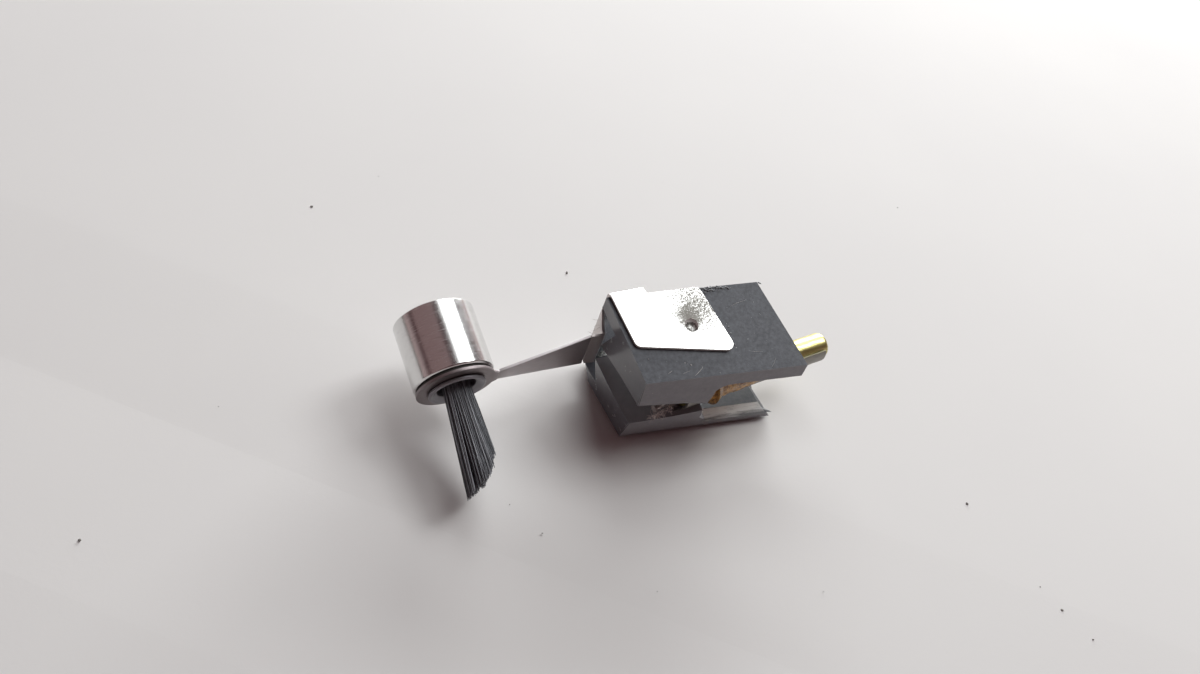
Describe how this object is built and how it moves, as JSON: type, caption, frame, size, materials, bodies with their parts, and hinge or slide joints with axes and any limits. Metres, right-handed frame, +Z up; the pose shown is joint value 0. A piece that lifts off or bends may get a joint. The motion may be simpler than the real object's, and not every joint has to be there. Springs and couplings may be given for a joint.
{
  "type": "turntable stylus with dust brush",
  "caption": "Phono stylus unit lying on its side: wedge-shaped grip, brass pivot tube, cantilever, and a clip-on dust brush on a tapered arm with a round weight.",
  "frame": {"origin": "on the flat outer face of the clip leg that the unit lies on, 3.9 mm behind the foot of the grip front and 5.2 mm up it", "axes": "+X from the brush head to the free end of the brass tube, +Z up off the table, +Y towards the side that faces the cartridge in use"},
  "size_m": [0.0392, 0.0162, 0.0115],
  "materials": {
    "moulding": "fine moulded grain, scratched",
    "nickel_sheet": "bright nickel plate",
    "arm_steel": "warm grey satin plate",
    "aluminium": "turned, with fine lines round it",
    "fibre": "dull dark fibre",
    "brass": "drawn, slightly tarnished",
    "grey_sheet": "dull plated strip",
    "amber_glue": "set adhesive",
    "rubber": "matt",
    "steel": "satin",
    "magnet": "ground",
    "bristle": "dark nylon or carbon filament",
    "diamond": "ground and polished"
  },
  "bodies": {
    "grip": {"grip_body": "moulding", "brush_clip": "nickel_sheet", "pivot_tube": "brass", "tube_trough": "grey_sheet", "glue_collar": "amber_glue", "tube_plug": "rubber", "damper_ring": "rubber", "damper_washer": "steel", "wire_anchor": "brass", "tie_wire": "steel"},
    "brush": {"brush_arm": "arm_steel", "brush_bush": "fibre", "brush_weight": "aluminium", "brush_eyelet": "nickel_sheet", "tuft_plug": "fibre", "bristles_a": "bristle", "bristles_b": "bristle", "bristles_c": "bristle", "bristles_d": "bristle"},
    "pivot_core": {"damper_core": "rubber"},
    "stylus_arm": {"cantilever": "aluminium", "tip_bushing": "steel", "diamond_tip": "diamond", "armature_sleeve": "steel", "magnet_armature": "magnet"}
  },
  "joints": [
    {"name": "brush_flex", "type": "hinge", "parent": "grip", "child": "brush", "pos_m": [-0.00626, 0.00079, 0.00551], "axis": [0, -0.1184, 0.993], "range_deg": [-6, 9], "stiffness_Nm_per_rad": 0.01},
    {"name": "stylus_sway", "type": "hinge", "parent": "grip", "child": "pivot_core", "pos_m": [0.00183, -0.00432, 0.0049], "axis": [-0.2027, 0.9724, 0.1159], "range_deg": [-4, 4], "stiffness_Nm_per_rad": 0.001},
    {"name": "stylus_lift", "type": "hinge", "parent": "pivot_core", "child": "stylus_arm", "pos_m": [0.00183, -0.00432, 0.0049], "axis": [0, -0.1184, 0.993], "range_deg": [-5, 5], "stiffness_Nm_per_rad": 0.001}
  ]
}
